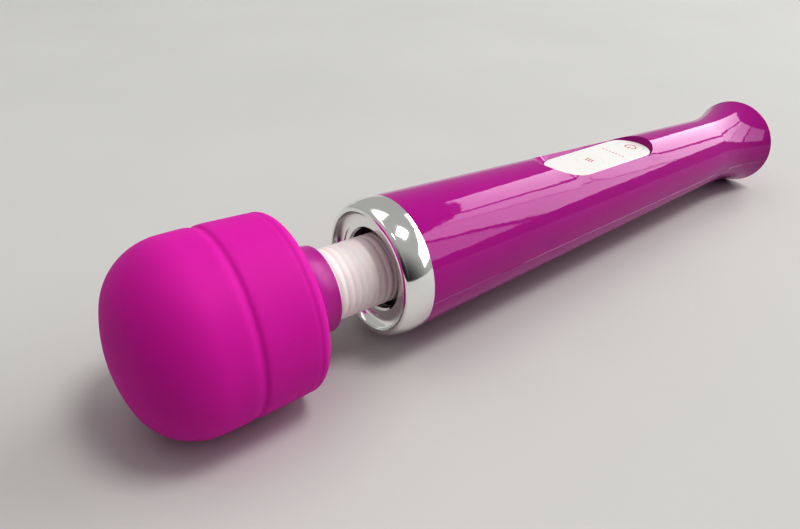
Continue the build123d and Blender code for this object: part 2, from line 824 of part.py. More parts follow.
with BuildPart() as lower_shell:
    add(whole_handle)
    add(hollow_handle, mode=Mode.SUBTRACT)
    for station, side, radius in boss_places:
        drop = sqrt((handle_radius_at(station) - 1.0) ** 2 - side**2)
        with BuildSketch(level(-drop, station, side)):
            Circle(radius + 0.6)
        extrude(amount=drop - seam_drop)
    add(whole_handle, mode=Mode.INTERSECT)
    split(bisect_by=level(-seam_drop), keep=Keep.BOTTOM)
    for station, side, radius in boss_places:
        with BuildSketch(level(-seam_drop - boss_floor, station, side)):
            Circle(shell_screw_head + 0.2)
        extrude(amount=-handle_radius, mode=Mode.SUBTRACT)
        with BuildSketch(level(-seam_drop - boss_floor, station, side)):
            Circle(shell_screw_radius + 0.25)
        extrude(amount=boss_floor, mode=Mode.SUBTRACT)
    chamfer(seam_edges(lower_shell), seam_bevel)
lower_shell.part.label = "lower_shell"
export_step(lower_shell.part, "parts/lower_shell.step")

with BuildPart() as shell_screws:
    for station, side, radius in boss_places:
        with BuildSketch(level(-seam_drop - boss_floor - 2.1, station, side)):
            Circle(shell_screw_head)
        extrude(amount=2.0)
        with BuildSketch(level(-seam_drop - boss_floor - 0.1, station, side)):
            Circle(shell_screw_radius)
        extrude(amount=10.0)
shell_screws.part.label = "shell_screws"
export_step(shell_screws.part, "parts/shell_screws.step")

# ---------------------------------------------------------------- tail

cap_rear = 318.0
with BuildPart() as tail_cap:
    with BuildSketch(across(tail_cap_front)):
        Circle(tail_opening - 0.08)
    extrude(amount=cap_rear - tail_cap_front)
    with BuildSketch(across(jack_collar_front)):
        Circle(jack_radius + jack_collar_wall)
    extrude(amount=tail_cap_front - jack_collar_front)
    with BuildSketch(across(jack_collar_front)):
        Circle(jack_radius + end_gap)
    extrude(amount=tail_cap_front - jack_collar_front, mode=Mode.SUBTRACT)
    with BuildSketch(across(tail_cap_front)):
        Circle(recess_radius)
    extrude(amount=cap_rear - tail_cap_front, mode=Mode.SUBTRACT)
tail_cap.part.label = "tail_cap"
export_step(tail_cap.part, "parts/tail_cap.step")

with BuildPart() as charge_jack:
    with BuildSketch(across(jack_front)):
        Circle(jack_radius)
    extrude(amount=tail_cap_front - jack_front - end_gap)
    with BuildSketch(across(jack_floor)):
        Circle(jack_bore)
    extrude(amount=tail_cap_front - jack_floor, mode=Mode.SUBTRACT)
    with BuildSketch(across(jack_front)):
        Circle(jack_pin_radius + press_gap)
    extrude(amount=jack_floor - jack_front, mode=Mode.SUBTRACT)
charge_jack.part.label = "charge_jack"
export_step(charge_jack.part, "parts/charge_jack.step")

with BuildPart() as jack_pin:
    with BuildSketch(across(jack_front - 1.0)):
        Circle(jack_pin_radius)
    extrude(amount=tail_cap_front - 1.0 - jack_front)
    fillet(jack_pin.edges().sort_by(Axis.X)[-1], 0.5)
jack_pin.part.label = "jack_pin"
export_step(jack_pin.part, "parts/jack_pin.step")

# ---------------------------------------------------------------- battery

for name, station in (("battery_cell_front", front_cell), ("battery_cell_rear", rear_cell)):
    with BuildPart() as battery_cell:
        with BuildSketch(across(station, 0, -cell_drop)):
            Circle(cell_radius)
        extrude(amount=cell_length - terminal_height)
        fillet(battery_cell.edges().filter_by(GeomType.CIRCLE), 0.8)
        with BuildSketch(across(station + cell_length - terminal_height, 0, -cell_drop)):
            Circle(cell_button_radius)
        extrude(amount=terminal_height - 0.2)
    battery_cell.part.label = name
    export_step(battery_cell.part, f"parts/{name}.step")

cradle_front = front_cell - 0.8
cradle_rear = rear_cell + cell_length + 1.5
cradle_radius = cell_radius + 0.1
with BuildPart() as battery_cradle:
    with BuildSketch(across(cradle_front, 0, -cell_drop)):
        Circle(cradle_radius + cradle_wall)
        Circle(cradle_radius, mode=Mode.SUBTRACT)
        with Locations((0, cradle_radius)):
            Rectangle(4 * cradle_radius, 2 * cradle_radius, mode=Mode.SUBTRACT)
    extrude(amount=cradle_rear - cradle_front)
battery_cradle.part.label = "battery_cradle"
export_step(battery_cradle.part, "parts/battery_cradle.step")

strap_width = 6.0
strap_thickness = 0.3
strap_stations = (front_cell - 0.45, rear_cell - 0.75, rear_cell + cell_length + 0.1)
with BuildPart() as battery_straps:
    for station in strap_stations:
        with BuildSketch(across(station, 0, -cell_drop)):
            Rectangle(strap_width, 15.0)
        extrude(amount=strap_thickness)
battery_straps.part.label = "battery_straps"
export_step(battery_straps.part, "parts/battery_straps.step")

# ---------------------------------------------------------------- controls

panel_bottom = panel_top - panel_thickness
with BuildPart() as control_panel:
    with BuildSketch(level(panel_bottom, panel_middle)):
        SlotOverall(panel_length, panel_width)
    extrude(amount=panel_thickness)
    fillet(control_panel.faces().sort_by(Axis.Z)[-1].edges(), 0.35)
    for station in (mode_station, power_station):
        with BuildSketch(level(panel_bottom, station)):
            Circle(key_radius + key_gap)
        extrude(amount=panel_thickness, mode=Mode.SUBTRACT)
control_panel.part.label = "control_panel"
export_step(control_panel.part, "parts/control_panel.step")

key_bottom = pocket_floor + 0.35
board_top = board_bottom + board_thickness
switch_top = board_top + switch_height
switch_pit = board_top + 0.15
for name, station in (("mode", mode_station), ("power", power_station)):
    with BuildPart() as key:
        with BuildSketch(level(key_bottom, station)):
            Circle(key_radius)
        extrude(amount=panel_top - key_bottom)
        with BuildSketch(level(plunger_top + plunger_gap, station)):
            Circle(key_stem_radius)
        extrude(amount=key_bottom - plunger_top - plunger_gap)
    key.part.label = f"{name}_button"
    export_step(key.part, f"parts/{name}_button.step")

    with BuildPart() as switch:
        with BuildSketch(level(board_top, station)):
            RectangleRounded(switch_side, switch_side, 0.5)
        extrude(amount=switch_height)
        with BuildSketch(level(switch_pit, station)):
            Circle(plunger_radius + 0.15)
        extrude(amount=switch_top - switch_pit, mode=Mode.SUBTRACT)
    switch.part.label = f"{name}_switch"
    export_step(switch.part, f"parts/{name}_switch.step")

    with BuildPart() as plunger:
        with BuildSketch(level(switch_pit + 0.35, station)):
            Circle(plunger_radius)
        extrude(amount=plunger_top - switch_pit - 0.35)
    plunger.part.label = f"{name}_plunger"
    export_step(plunger.part, f"parts/{name}_plunger.step")

board_middle = (board_front + board_rear) / 2
board_screw_reach = (board_rear - board_front) / 2 - 3.0
with BuildPart() as circuit_board:
    with BuildSketch(level(board_bottom, board_middle)):
        RectangleRounded(board_rear - board_front, board_width, 1.0)
        with Locations((-board_screw_reach, board_screw_offset), (board_screw_reach, -board_screw_offset)):
            Circle(board_screw_radius + 0.1, mode=Mode.SUBTRACT)
    extrude(amount=board_thickness)
circuit_board.part.label = "circuit_board"
export_step(circuit_board.part, "parts/circuit_board.step")

with BuildPart() as board_screws:
    for end in (-1, 1):
        station = board_middle + end * board_screw_reach
        side = -end * board_screw_offset
        with BuildSketch(level(board_bottom - 1.2 - end_gap, station, side)):
            Circle(small_head_radius)
        extrude(amount=1.2)
        with BuildSketch(level(board_bottom - end_gap, station, side)):
            Circle(board_screw_radius)
        extrude(amount=board_thickness + 1.4)
board_screws.part.label = "board_screws"
export_step(board_screws.part, "parts/board_screws.step")

with BuildPart() as control_chips:
    with BuildSketch(level(board_top, chip_front)):
        Rectangle(5.0, 6.0)
        with Locations((24.8, 0)):
            Rectangle(7.0, 5.2)
    extrude(amount=1.4)
control_chips.part.label = "control_chips"
export_step(control_chips.part, "parts/control_chips.step")

# ---------------------------------------------------------------- internal leads

lead_radius = 0.6
lead_bend = 1.2
lead_height = 7.4
lead_end = board_bottom - end_gap
strap_top = 4.35


def lead_path(side, points):
    """The corners of one lead, from (station, offset, height) points on one side."""
    return [(tip_x + station, side * offset, axis_height + height) for station, offset, height in points]


motor_lead_points = [
    (154.2, 8.75, 0.0),
    (157.6, 8.75, 3.0),
    (166.0, 4.2, lead_height),
    (184.0, 4.2, lead_height),
    (184.0, 4.2, lead_end),
]
battery_front_points = [
    (front_cell - 0.75, 1.3, strap_top),
    (front_cell - 0.75, 1.3, lead_height),
    (188.0, 1.3, lead_height),
    (188.0, 1.3, lead_end),
]
battery_rear_points = [
    (rear_cell + cell_length + 0.7, 1.3, strap_top),
    (rear_cell + cell_length + 0.7, 1.3, lead_height),
    (234.0, 1.3, lead_height),
    (234.0, 1.3, lead_end),
]
jack_lead_points = [
    (jack_front - 0.05, 3.4, 0.0),
    (jack_front - 2.0, 3.4, 0.0),
    (298.5, 5.0, 2.5),
    (290.0, 5.0, lead_height),
    (230.0, 4.2, lead_height),
    (230.0, 4.2, lead_end),
]

lead_sets = {
    "motor_leads": [(1, motor_lead_points), (-1, motor_lead_points)],
    "battery_leads": [(1, battery_front_points), (-1, battery_rear_points)],
    "jack_leads": [(1, jack_lead_points), (-1, jack_lead_points)],
}
for name, routes in lead_sets.items():
    with BuildPart() as leads:
        for side, points in routes:
            with BuildLine() as route:
                FilletPolyline(*lead_path(side, points), radius=lead_bend)
            with BuildSketch(Plane(origin=route.line @ 0, z_dir=route.line % 0)):
                Circle(lead_radius)
            sweep(path=route.line)
    leads.part.label = name
    export_step(leads.part, f"parts/{name}.step")
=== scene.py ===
import json
from math import asin, cos, pi, radians, sin, sqrt, tan

import bmesh
import bpy
from mathutils import Euler, Matrix, Vector


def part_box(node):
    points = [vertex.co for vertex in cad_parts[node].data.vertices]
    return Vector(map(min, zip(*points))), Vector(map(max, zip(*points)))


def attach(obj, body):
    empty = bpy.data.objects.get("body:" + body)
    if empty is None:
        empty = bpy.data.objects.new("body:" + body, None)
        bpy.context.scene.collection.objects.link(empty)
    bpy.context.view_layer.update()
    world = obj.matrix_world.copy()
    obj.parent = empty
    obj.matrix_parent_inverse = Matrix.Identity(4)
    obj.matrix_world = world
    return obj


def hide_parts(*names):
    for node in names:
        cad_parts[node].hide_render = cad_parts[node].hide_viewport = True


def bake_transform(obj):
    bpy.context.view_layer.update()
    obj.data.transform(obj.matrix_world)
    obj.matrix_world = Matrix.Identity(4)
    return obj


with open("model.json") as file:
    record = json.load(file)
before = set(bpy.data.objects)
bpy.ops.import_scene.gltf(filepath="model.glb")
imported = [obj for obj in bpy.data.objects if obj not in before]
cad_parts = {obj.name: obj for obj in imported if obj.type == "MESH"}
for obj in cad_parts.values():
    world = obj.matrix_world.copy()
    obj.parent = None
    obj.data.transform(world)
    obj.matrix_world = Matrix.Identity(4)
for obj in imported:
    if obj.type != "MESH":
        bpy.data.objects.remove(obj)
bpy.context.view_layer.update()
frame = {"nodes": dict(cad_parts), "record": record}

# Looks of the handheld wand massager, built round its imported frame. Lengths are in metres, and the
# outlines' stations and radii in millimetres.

scene = bpy.context.scene
mm = 0.001
STEPS = 144  # segments round the wand

head_low, head_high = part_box("head_cover")
tip_x = head_low.x
axis_z = (head_low.z + head_high.z) / 2
head_radius = (head_high.z - head_low.z) / 2
head_rear = (head_high.x - head_low.x) / mm


def at(station):
    """The x of a station, a distance in millimetres along the wand from the head's tip."""
    return tip_x + station * mm


# ---------------------------------------------------------------- materials


def shader(name):
    """A new node material and its Principled shader."""
    material = bpy.data.materials.new(name)
    material.use_nodes = True
    return material, material.node_tree.nodes["Principled BSDF"]


def add_node(material, kind, **values):
    """A node of that kind with its input sockets set by name."""
    node = material.node_tree.nodes.new(kind)
    for socket, value in values.items():
        node.inputs[socket.replace("_", " ")].default_value = value
    return node


EVEN = (1, 1, 1)  # noise that isn't drawn out
NOISE_DETAIL = 3.0
NOISE_LOW, NOISE_HIGH = 0.3, 0.7  # the range that most of the noise lies in
ROUGHNESS_SCALE = 400
MIX_FACTOR, MIX_FIRST, MIX_SECOND, MIX_RESULT = 0, 6, 7, 2  # the Mix node's sockets for colours


def noise(material, scale, stretch=EVEN):
    """Noise over the row frame's own position, so it stays on the piece."""
    links = material.node_tree.links
    place = add_node(material, "ShaderNodeTexCoord")
    mapping = add_node(material, "ShaderNodeMapping", Scale=stretch)
    texture = add_node(material, "ShaderNodeTexNoise", Scale=scale, Detail=NOISE_DETAIL)
    links.new(place.outputs["Object"], mapping.inputs["Vector"])
    links.new(mapping.outputs["Vector"], texture.inputs["Vector"])
    return texture.outputs["Fac"]


def spread(material, factor, low, high):
    """Noise in its usual middle range, spread over low to high."""
    ramp = add_node(
        material, "ShaderNodeMapRange", From_Min=NOISE_LOW, From_Max=NOISE_HIGH, To_Min=low, To_Max=high
    )
    material.node_tree.links.new(factor, ramp.inputs["Value"])
    return ramp.outputs["Result"]


def mottled(material, body, colour, amount, scale):
    """Base colour that drifts a little lighter and darker over the piece."""
    mix = add_node(material, "ShaderNodeMix")
    mix.data_type = "RGBA"
    dark = [channel * (1 - amount) for channel in colour]
    light = [min(1.0, channel * (1 + amount)) for channel in colour]
    mix.inputs[MIX_FIRST].default_value = (*dark, 1)
    mix.inputs[MIX_SECOND].default_value = (*light, 1)
    links = material.node_tree.links
    links.new(spread(material, noise(material, scale), 0, 1), mix.inputs[MIX_FACTOR])
    links.new(mix.outputs[MIX_RESULT], body.inputs["Base Color"])


def bumps(material, body, layers):
    """Bump layers of (noise scale, height in metres, stretch), one on the next."""
    links = material.node_tree.links
    previous = None
    for scale, height, stretch in layers:
        bump = add_node(material, "ShaderNodeBump", Distance=height, Strength=1.0)
        links.new(noise(material, scale, stretch=stretch), bump.inputs["Height"])
        if previous:
            links.new(previous.outputs["Normal"], bump.inputs["Normal"])
        previous = bump
    links.new(previous.outputs["Normal"], body.inputs["Normal"])


def surface(
    name, colour, roughness, *, spread_by=0.04, mottle=0.04, mottle_scale=90, layers=(), **constants
):
    """A finish: mottled colour, uneven roughness, bump layers, and constant sockets."""
    material, body = shader(name)
    mottled(material, body, colour, mottle, mottle_scale)
    rough = spread(material, noise(material, ROUGHNESS_SCALE), roughness - spread_by, roughness + spread_by)
    material.node_tree.links.new(rough, body.inputs["Roughness"])
    if layers:
        bumps(material, body, layers)
    for socket, value in constants.items():
        body.inputs[socket.replace("_", " ")].default_value = value
    return material


ALONG = (0.5, 1, 1)  # noise drawn out along the wand
DRAWN = (1, 8, 8)  # fine lines along the wand, as on ground steel
FINE = (2600, 0.004 * mm, EVEN)
MOULDED = (900, 0.012 * mm, EVEN)
COARSE = (1500, 0.02 * mm, EVEN)

FINISHES = {
    "silicone_magenta": surface(
        "silicone_magenta", (0.64, 0.018, 0.39), 0.62, mottle=0.03, mottle_scale=45,
        layers=[(3200, 0.004 * mm, EVEN), (700, 0.003 * mm, EVEN)],
        Specular_IOR_Level=0.2, Sheen_Weight=0.03, Sheen_Roughness=0.4,
        Sheen_Tint=(1.0, 0.35, 0.8, 1), Subsurface_Weight=0.06, Subsurface_Scale=2 * mm,
    ),
    "collar_gloss": surface(
        "collar_gloss", (0.42, 0.002, 0.27), 0.4, mottle=0.015, layers=[(1800, 0.001 * mm, EVEN)],
        Coat_Weight=0.2, Coat_Roughness=0.3,
    ),
    "handle_gloss": surface(
        "handle_gloss", (0.42, 0.0008, 0.27), 0.05, spread_by=0.015, mottle=0.03, mottle_scale=30,
        layers=[(85, 0.11 * mm, ALONG), (230, 0.02 * mm, ALONG)],
    ),
    # The throat's colour is partly its own tone and partly painted shade: the handle's purple, darkened to
    # near black for the shade inside the bore.
    "throat_plastic": surface("throat_plastic", (0.05, 0.004, 0.03), 0.3, layers=[MOULDED]),
    "neck_white": surface(
        "neck_white", (0.96, 0.90, 0.88), 0.42, mottle=0.01, layers=[MOULDED],
        Subsurface_Weight=0.15, Subsurface_Scale=1.5 * mm,
    ),
    "chrome": surface(
        "chrome", (0.90, 0.905, 0.89), 0.09, spread_by=0.02, mottle=0.01,
        layers=[(70, 0.008 * mm, EVEN)], Metallic=1.0,
    ),
    "panel_white": surface(
        "panel_white", (0.84, 0.83, 0.81), 0.35, spread_by=0.02, mottle=0.004,
        layers=[(300, 0.001 * mm, EVEN)], Coat_Weight=0.2, Coat_Roughness=0.2,
    ),
    "icon_red": surface("icon_red", (0.55, 0.05, 0.06), 0.5, layers=[FINE]),
    "core_plastic": surface("core_plastic", (0.75, 0.74, 0.72), 0.5, layers=[MOULDED]),
    "black_plastic": surface("black_plastic", (0.03, 0.03, 0.03), 0.45, layers=[MOULDED]),
    "plunger_plastic": surface("plunger_plastic", (0.10, 0.10, 0.10), 0.45, layers=[MOULDED]),
    "black_rubber": surface("black_rubber", (0.03, 0.03, 0.03), 0.75, layers=[COARSE]),
    "steel": surface(
        "steel", (0.62, 0.62, 0.63), 0.28, layers=[(1800, 0.003 * mm, DRAWN)], Metallic=1.0
    ),
    "black_steel": surface("black_steel", (0.05, 0.05, 0.05), 0.4, layers=[FINE], Metallic=0.8),
    "motor_steel": surface(
        "motor_steel", (0.60, 0.61, 0.62), 0.35, mottle=0.1, mottle_scale=300, layers=[FINE], Metallic=1.0
    ),
    "nickel": surface("nickel", (0.68, 0.66, 0.60), 0.3, layers=[FINE], Metallic=1.0),
    "magnet": surface("magnet", (0.07, 0.07, 0.08), 0.55, layers=[(1200, 0.03 * mm, EVEN)]),
    "armature": surface("armature", (0.35, 0.18, 0.10), 0.4, mottle=0.2, layers=[MOULDED], Metallic=0.6),
    "copper": surface("copper", (0.78, 0.40, 0.22), 0.3, layers=[FINE], Metallic=1.0),
    "brass": surface("brass", (0.72, 0.55, 0.28), 0.3, layers=[FINE], Metallic=1.0),
    "carbon": surface("carbon", (0.06, 0.06, 0.06), 0.6, layers=[COARSE]),
    "cell_wrap": surface("cell_wrap", (0.10, 0.35, 0.55), 0.3, layers=[FINE], Coat_Weight=0.3),
    "board_green": surface("board_green", (0.03, 0.22, 0.10), 0.35, mottle=0.15, layers=[FINE]),
    "lead_red": surface("lead_red", (0.55, 0.03, 0.03), 0.45, layers=[FINE]),
    "lead_black": surface("lead_black", (0.04, 0.04, 0.04), 0.45, layers=[FINE]),
}


def finish_nodes():
    """Each CAD node takes the finish of its slot in the record."""
    for subpart in frame["record"]["subparts"]:
        mesh = frame["nodes"][subpart["node"]].data
        mesh.materials.clear()
        mesh.materials.append(FINISHES[subpart["material_slot"]])


# ---------------------------------------------------------------- mesh helpers

WELD = 0.0005 * mm
SMOOTH_ANGLE = 40  # degrees; sharper edges stay crisp


def new_object(name, mesh, finish):
    """A piece in the scene with a finish."""
    piece = bpy.data.objects.new(name, mesh)
    scene.collection.objects.link(piece)
    mesh.materials.append(FINISHES[finish])
    return piece


def revolved(name, outline, finish, sharp=SMOOTH_ANGLE):
    """A closed solid of revolution about the wand's axis, from (station, radius) points in millimetres."""
    shape = bmesh.new()
    rings = []
    for station, radius in outline:
        ring = []
        for step in range(STEPS):
            turn = 2 * pi * step / STEPS
            side, height = radius * mm * sin(turn), radius * mm * cos(turn)
            ring.append(shape.verts.new((at(station), side, axis_z + height)))
        rings.append(ring)
    for index, ring in enumerate(rings):
        following = rings[(index + 1) % len(rings)]
        for step in range(STEPS):
            ahead = (step + 1) % STEPS
            shape.faces.new((ring[step], following[step], following[ahead], ring[ahead]))
    bmesh.ops.remove_doubles(shape, verts=shape.verts, dist=WELD)
    bmesh.ops.recalc_face_normals(shape, faces=shape.faces)
    return smooth_object(name, shape, finish, sharp)


def smooth_object(name, shape, finish, sharp=SMOOTH_ANGLE):
    """The finished bmesh as a piece, smooth except at edges sharper than the given angle."""
    mesh = bpy.data.meshes.new(name)
    shape.to_mesh(mesh)
    shape.free()
    for face in mesh.polygons:
        face.use_smooth = True
    mesh.set_sharp_from_angle(angle=radians(sharp))
    return new_object(name, mesh, finish)


def arc(centre, radius, start, end, count):
    """Points on an arc; angles in degrees, from the tip's side over the top."""
    points = []
    for step in range(count + 1):
        turn = radians(start + (end - start) * step / count)
        points.append((centre[0] - radius * cos(turn), centre[1] + radius * sin(turn)))
    return points


# ---------------------------------------------------------------- head

DOME_RADIUS = 50.0
SHOULDER_RADIUS = 20.5
GROOVE_STATION = 32.4
GROOVE_DEPTH = 0.62
GROOVE_WIDTH = 1.45
GROOVE_FRONT, GROOVE_BACK = 1.25, 0.8  # the width's share on each side of the groove
REAR_RADIUS = 29.7
EDGE_RADIUS = 3.4
REAR_FACE_DROP = 0.3
BEAD_HEIGHT = 0.25
BEAD_WIDTH = 1.8
RIM_LINE_AHEAD = 0.7
RIM_LINE_DEPTH = 0.1
RIM_LINE_WIDTH = 0.55
COVER_WALL = 3.0
COVER_BORE = 20.95
TIP_ANGLE = 0.2  # degrees off the axis, where the outline starts
INNER_TIP_GAP, INNER_TIP_RADIUS = 0.4, 0.2
DOME_STEPS, SHOULDER_STEPS, SIDE_STEPS, RIM_STEPS, BEAD_STEPS = 16, 26, 96, 14, 9
INSIDE_STRIDE = 3  # the inside keeps every third point of the shoulder


def head_outline():
    """The cover's outside from its tip to its rear rim."""
    widest = head_radius / mm
    offset = widest - SHOULDER_RADIUS
    reach = DOME_RADIUS - SHOULDER_RADIUS
    meeting = asin(offset / reach) * 180 / pi
    shoulder_station = DOME_RADIUS - sqrt(reach**2 - offset**2)
    outline = arc((DOME_RADIUS, 0), DOME_RADIUS, TIP_ANGLE, meeting, DOME_STEPS)
    outline += arc((shoulder_station, offset), SHOULDER_RADIUS, meeting, 90, SHOULDER_STEPS)[1:]
    straight_end = head_rear - EDGE_RADIUS
    for step in range(1, SIDE_STEPS + 1):
        station = shoulder_station + (straight_end - shoulder_station) * step / SIDE_STEPS
        taper = max(0.0, (station - GROOVE_STATION) / (straight_end - GROOVE_STATION))
        radius = widest - (widest - REAR_RADIUS) * taper
        # A soft valley whose front side falls more gently than its rear side rises.
        side = GROOVE_FRONT if station < GROOVE_STATION else GROOVE_BACK
        away = (station - GROOVE_STATION) / (GROOVE_WIDTH * side)
        before_rim = (straight_end - RIM_LINE_AHEAD - station) / RIM_LINE_WIDTH
        dip = GROOVE_DEPTH / (1 + away**2 + away**4) + RIM_LINE_DEPTH / (1 + before_rim**4)
        outline.append((station, radius - dip))
    rim = arc((straight_end, REAR_RADIUS - EDGE_RADIUS), EDGE_RADIUS, 90, 180, RIM_STEPS)
    return outline + rim[1:]


def head_cover():
    """The silicone cover: domed front, soft groove, rounded rim with a low bead on its rear face."""
    outside = head_outline()
    rim_station, rim_radius = outside[-1]
    rear_face = rim_station - REAR_FACE_DROP
    bead = []
    for step in range(1, BEAD_STEPS + 1):
        share = step / BEAD_STEPS
        bead.append((rear_face + BEAD_HEIGHT * sin(pi * share), rim_radius - BEAD_WIDTH * share))
    inside = [
        (rear_face, COVER_BORE),
        (rim_station - COVER_WALL, COVER_BORE),
        (rim_station - COVER_WALL, REAR_RADIUS - COVER_WALL),
        (GROOVE_STATION, REAR_RADIUS - COVER_WALL),
    ]
    shoulder = outside[DOME_STEPS : DOME_STEPS + SHOULDER_STEPS : INSIDE_STRIDE]
    inside += [(station + COVER_WALL, radius - COVER_WALL) for station, radius in reversed(shoulder)]
    inside.append((COVER_WALL + INNER_TIP_GAP, INNER_TIP_RADIUS))
    piece = revolved("head_cover_skin", outside + bead + inside, "silicone_magenta")
    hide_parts("head_cover")
    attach(piece, "head")


# ---------------------------------------------------------------- neck

PITCH_PIVOT = 72.0
YAW_PIVOT = 83.0
NECK_MIDDLE = (PITCH_PIVOT + YAW_PIVOT) / 2
NECK_RADIUS = 12.35
RIB_PITCH = 2.6
RIB_DEPTH = 0.38
SLEEVE_BORE = 9.75
CREST_POWER = 0.8  # below 1, crests are broader than valleys
RIB_STEPS = 10
RIB_SMOOTH_ANGLE = 70
SHAFT_RADIUS, SHAFT_BORE = 2.5, 0.6
SHAFT_WIRE_PITCH, SHAFT_WIRE_DEPTH = 0.9, 0.12
COIL_RADIUS, COIL_WIRE, COIL_PITCH = 8.6, 0.85, 3.4
COIL_SIDES, COIL_STEPS = 12, 28  # round the wire, and in each turn


def on_axis(station):
    """The point on the wand's axis at a station."""
    return (at(station), 0, axis_z)


def bend_half(piece, front):
    """Bakes the half's placement into its mesh, the front half and the rear half alike."""
    if front:
        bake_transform(piece)
    else:
        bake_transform(piece)


def node_span(node):
    """The first and last station of a node."""
    low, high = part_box(node)
    return (low.x - tip_x) / mm, (high.x - tip_x) / mm


def ribbed_half(name, start, end, first, pitch, depth, radius, bore, finish):
    """Half of a ribbed tube: soft crests and narrow valleys, counted from the first station."""
    count = int((end - start) * RIB_STEPS / pitch)
    outline = []
    for step in range(count + 1):
        station = start + (end - start) * step / count
        crest = abs(sin(pi * (station - first) / pitch)) ** CREST_POWER
        outline.append((station, radius - depth * (1 - crest)))
    inner = [(end + (start - end) * step / count, bore) for step in range(count + 1)]
    return revolved(name, outline + inner, finish, RIB_SMOOTH_ANGLE)


def split_halves(node):
    """The two (name, start, end, is front) halves of a node that the neck bends."""
    start, end = node_span(node)
    return (f"{node}_front", start, NECK_MIDDLE, True), (f"{node}_rear", NECK_MIDDLE, end, False)


def neck_sleeve():
    """The ribbed white sleeve over the spring."""
    first = node_span("neck_sleeve")[0]
    for name, start, end, front in split_halves("neck_sleeve"):
        piece = ribbed_half(
            name, start, end, first, RIB_PITCH, RIB_DEPTH, NECK_RADIUS, SLEEVE_BORE, "neck_white"
        )
        bend_half(piece, front)
        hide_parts("neck_sleeve")


def flexible_shaft():
    """The wound drive shaft inside the neck, ridged by its outer wire."""
    first = node_span("flexible_shaft")[0]
    for name, start, end, front in split_halves("flexible_shaft"):
        piece = ribbed_half(
            name, start, end, first, SHAFT_WIRE_PITCH, SHAFT_WIRE_DEPTH, SHAFT_RADIUS, SHAFT_BORE, "steel"
        )
        bend_half(piece, front)
        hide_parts("flexible_shaft")


def neck_spring():
    """The coil spring, as a wire tube on a helix cut in two at the neck's middle."""
    span_start, span_end = node_span("neck_spring")
    start_all, end_all = span_start + COIL_WIRE, span_end - COIL_WIRE
    for name, front in (("neck_spring_front", True), ("neck_spring_rear", False)):
        start = start_all if front else NECK_MIDDLE
        end = NECK_MIDDLE if front else end_all
        count = int((end - start) / COIL_PITCH * COIL_STEPS)
        shape = bmesh.new()
        rings = []
        for step in range(count + 1):
            station = start + (end - start) * step / count
            turn = 2 * pi * (station - start_all) / COIL_PITCH
            outward = Vector((0, sin(turn), cos(turn)))
            round_turn = 2 * pi * COIL_RADIUS
            forward = Vector((COIL_PITCH, round_turn * cos(turn), -round_turn * sin(turn)))
            across = forward.normalized().cross(outward)
            centre = Vector(on_axis(station)) + outward * COIL_RADIUS * mm
            ring = []
            for side in range(COIL_SIDES):
                angle = 2 * pi * side / COIL_SIDES
                reach = (outward * cos(angle) + across * sin(angle)) * COIL_WIRE * mm
                ring.append(shape.verts.new(centre + reach))
            rings.append(ring)
        for before, after in zip(rings, rings[1:]):
            for side in range(COIL_SIDES):
                ahead = (side + 1) % COIL_SIDES
                shape.faces.new((before[side], after[side], after[ahead], before[ahead]))
        shape.faces.new(rings[0])
        shape.faces.new(rings[-1])
        bmesh.ops.recalc_face_normals(shape, faces=shape.faces)
        piece = smooth_object(name, shape, "steel")
        bend_half(piece, front)
        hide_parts("neck_spring")


# ---------------------------------------------------------------- prints on the panel

PRINT_HEIGHT = 0.06 * mm
PRINT_LIFT = 0.005 * mm
PRINT_FLAT = 0.7  # the share of a stroke's width that is flat on top
PRINT_SMOOTH_ANGLE = 30
POWER_RADIUS, POWER_WIDTH = 2.35 * mm, 0.5 * mm
POWER_GAP = 38  # degrees from the gap's middle to each end of the ring
POWER_BAR = 1.15  # the bar's length as a share of the ring's radius
RING_STEPS, BAR_STEPS = 40, 6
WAVE_LENGTH, WAVE_WIDTH, WAVE_SWAY, WAVE_GAP = 3.0 * mm, 0.4 * mm, 0.35 * mm, 1.3 * mm
WAVE_STEPS = 24
DOT_COUNT = 7
DOT_GAP = 1.7 * mm
DOT_ROW_SHIFT = 1.7 * mm  # the row is nearer the power key
DOT_WIDTH, DOT_REACH = 0.42 * mm, 0.45 * mm
DOT_STEPS = 6


def printed_stroke(name, path, width, top, body):
    """A low stroke with sloped sides along (x, y) points, on a level face."""
    shape = bmesh.new()
    rings = []
    half = width / 2
    last = len(path) - 1
    for index, (x, y) in enumerate(path):
        before, after = path[max(index - 1, 0)], path[min(index + 1, last)]
        run = Vector((after[0] - before[0], after[1] - before[1]))
        side = Vector((-run.y, run.x)).normalized()
        ring = []
        for offset, lift in ((-half, 0), (-half * PRINT_FLAT, 1), (half * PRINT_FLAT, 1), (half, 0)):
            place = Vector((x, y)) + side * offset
            ring.append(shape.verts.new((place.x, place.y, top + PRINT_LIFT + lift * PRINT_HEIGHT)))
        rings.append(ring)
    for before, after in zip(rings, rings[1:]):
        for corner in range(4):
            ahead = (corner + 1) % 4
            shape.faces.new((before[corner], after[corner], after[ahead], before[ahead]))
    shape.faces.new(rings[0])
    shape.faces.new(rings[-1])
    bmesh.ops.recalc_face_normals(shape, faces=shape.faces)
    piece = smooth_object(name, shape, "icon_red", PRINT_SMOOTH_ANGLE)
    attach(piece, body)


def power_mark():
    """A power symbol: a ring open towards the head, and a bar in the gap."""
    low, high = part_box("power_button")
    centre = (low + high) / 2
    ring = []
    for step in range(RING_STEPS + 1):
        turn = radians(180 + POWER_GAP + (360 - 2 * POWER_GAP) * step / RING_STEPS)
        ring.append((centre.x + POWER_RADIUS * cos(turn), centre.y + POWER_RADIUS * sin(turn)))
    printed_stroke("power_mark_ring", ring, POWER_WIDTH, high.z, "power_key")
    bar = []
    for step in range(BAR_STEPS + 1):
        bar.append((centre.x - POWER_RADIUS * POWER_BAR * step / BAR_STEPS, centre.y))
    printed_stroke("power_mark_bar", bar, POWER_WIDTH, high.z, "power_key")


